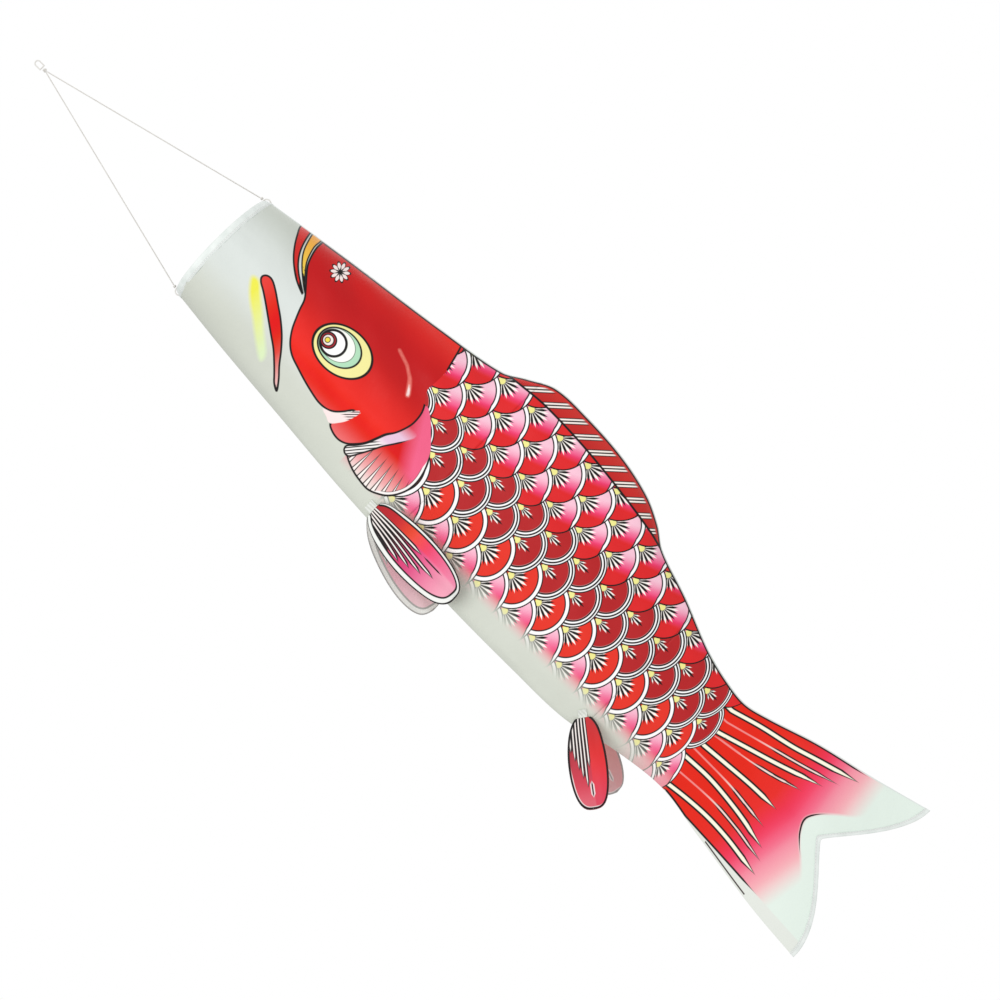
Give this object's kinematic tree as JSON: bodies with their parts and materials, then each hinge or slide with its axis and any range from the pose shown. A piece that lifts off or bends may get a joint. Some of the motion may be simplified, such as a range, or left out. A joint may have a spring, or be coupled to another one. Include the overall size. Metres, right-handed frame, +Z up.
{
  "type": "carp streamer",
  "caption": "Printed cloth carp streamer with a round hooped mouth, flap fins and a two-legged cord bridle, hung by a loop.",
  "frame": {"origin": "where a hook bears in the hanging loop", "axes": "+Z up along the hanging streamer, +X towards the fish's back, -Y towards its left side"},
  "size_m": [0.3073, 0.142, 1.2935],
  "materials": {
    "white_cord": "braided white cord",
    "hoop_wire": "bright spring wire",
    "sleeve": "plastic sleeve",
    "white_cloth": "thin woven white cloth",
    "printed_cloth": "thin woven cloth printed with red and pink scales",
    "fin_cloth": "thin woven cloth printed with dark rays"
  },
  "bodies": {
    "hanger": {"hanging_loop": "white_cord"},
    "knot": {"apex_knot": "white_cord"},
    "bridle": {"back_cord": "white_cord", "belly_cord": "white_cord", "back_tie_knot": "white_cord", "belly_tie_knot": "white_cord"},
    "head": {"back_tie_loop": "white_cord", "belly_tie_loop": "white_cord", "mouth_hoop": "hoop_wire", "hoop_joiner": "sleeve", "mouth_hem": "white_cloth", "left_front_panel": "white_cloth", "right_front_panel": "white_cloth", "back_seam_front": "white_cloth", "belly_seam_front": "white_cloth"},
    "trunk": {"front_fold_band": "white_cloth", "left_middle_panel": "printed_cloth", "right_middle_panel": "printed_cloth", "back_seam_middle": "white_cloth", "belly_seam_middle": "white_cloth", "left_pectoral_root": "fin_cloth", "right_pectoral_root": "fin_cloth"},
    "rear": {"middle_fold_band": "printed_cloth", "left_rear_panel": "printed_cloth", "right_rear_panel": "printed_cloth", "back_seam_rear": "white_cloth", "belly_seam_rear": "white_cloth", "left_pelvic_root": "fin_cloth", "right_pelvic_root": "fin_cloth"},
    "tail": {"tail_fold_band": "printed_cloth", "left_tail_panel": "printed_cloth", "right_tail_panel": "printed_cloth", "back_seam_tail": "white_cloth", "belly_seam_tail": "white_cloth", "left_tail_hem": "white_cloth", "right_tail_hem": "white_cloth"},
    "left_pectoral": {"left_pectoral_fin": "fin_cloth"},
    "right_pectoral": {"right_pectoral_fin": "fin_cloth"},
    "left_pelvic": {"left_pelvic_fin": "fin_cloth"},
    "right_pelvic": {"right_pelvic_fin": "fin_cloth"}
  },
  "joints": [
    {"name": "turn", "type": "hinge", "parent": "hanger", "child": "knot", "pos_m": [0, 0, -0.0133], "axis": [0, 0, 1], "range_deg": [-180, 180]},
    {"name": "wind_lift", "type": "hinge", "parent": "knot", "child": "bridle", "pos_m": [0, 0, -0.0133], "axis": [0, 1, 0], "range_deg": [-100, 60]},
    {"name": "mouth_swing", "type": "hinge", "parent": "bridle", "child": "head", "pos_m": [0, 0, -0.28385], "axis": [1, 0, 0], "range_deg": [-60, 60]},
    {"name": "front_bend", "type": "hinge", "parent": "head", "child": "trunk", "pos_m": [0, 0, -0.578], "axis": [1, 0, 0], "range_deg": [-20, 20], "deforming": ["front_fold_band"]},
    {"name": "middle_bend", "type": "hinge", "parent": "trunk", "child": "rear", "pos_m": [0, 0, -0.848], "axis": [1, 0, 0], "range_deg": [-25, 25], "deforming": ["middle_fold_band"]},
    {"name": "tail_bend", "type": "hinge", "parent": "rear", "child": "tail", "pos_m": [0, 0, -1.063], "axis": [1, 0, 0], "range_deg": [-35, 35], "deforming": ["tail_fold_band"]},
    {"name": "left_pectoral_flap", "type": "hinge", "parent": "trunk", "child": "left_pectoral", "pos_m": [-0.08828, -0.01821, -0.61493], "axis": [-0.8802, 0.4739, -0.0262], "range_deg": [0, 70]},
    {"name": "right_pectoral_flap", "type": "hinge", "parent": "trunk", "child": "right_pectoral", "pos_m": [-0.08723, 0.01889, -0.61482], "axis": [0.8796, 0.4485, -0.1589], "range_deg": [0, 70]},
    {"name": "left_pelvic_flap", "type": "hinge", "parent": "rear", "child": "left_pelvic", "pos_m": [-0.0881, -0.01489, -0.93978], "axis": [-0.7803, 0.3439, 0.5224], "range_deg": [0, 70]},
    {"name": "right_pelvic_flap", "type": "hinge", "parent": "rear", "child": "right_pelvic", "pos_m": [-0.08813, 0.01487, -0.93977], "axis": [0.9147, 0.3256, -0.2395], "range_deg": [0, 70]}
  ]
}
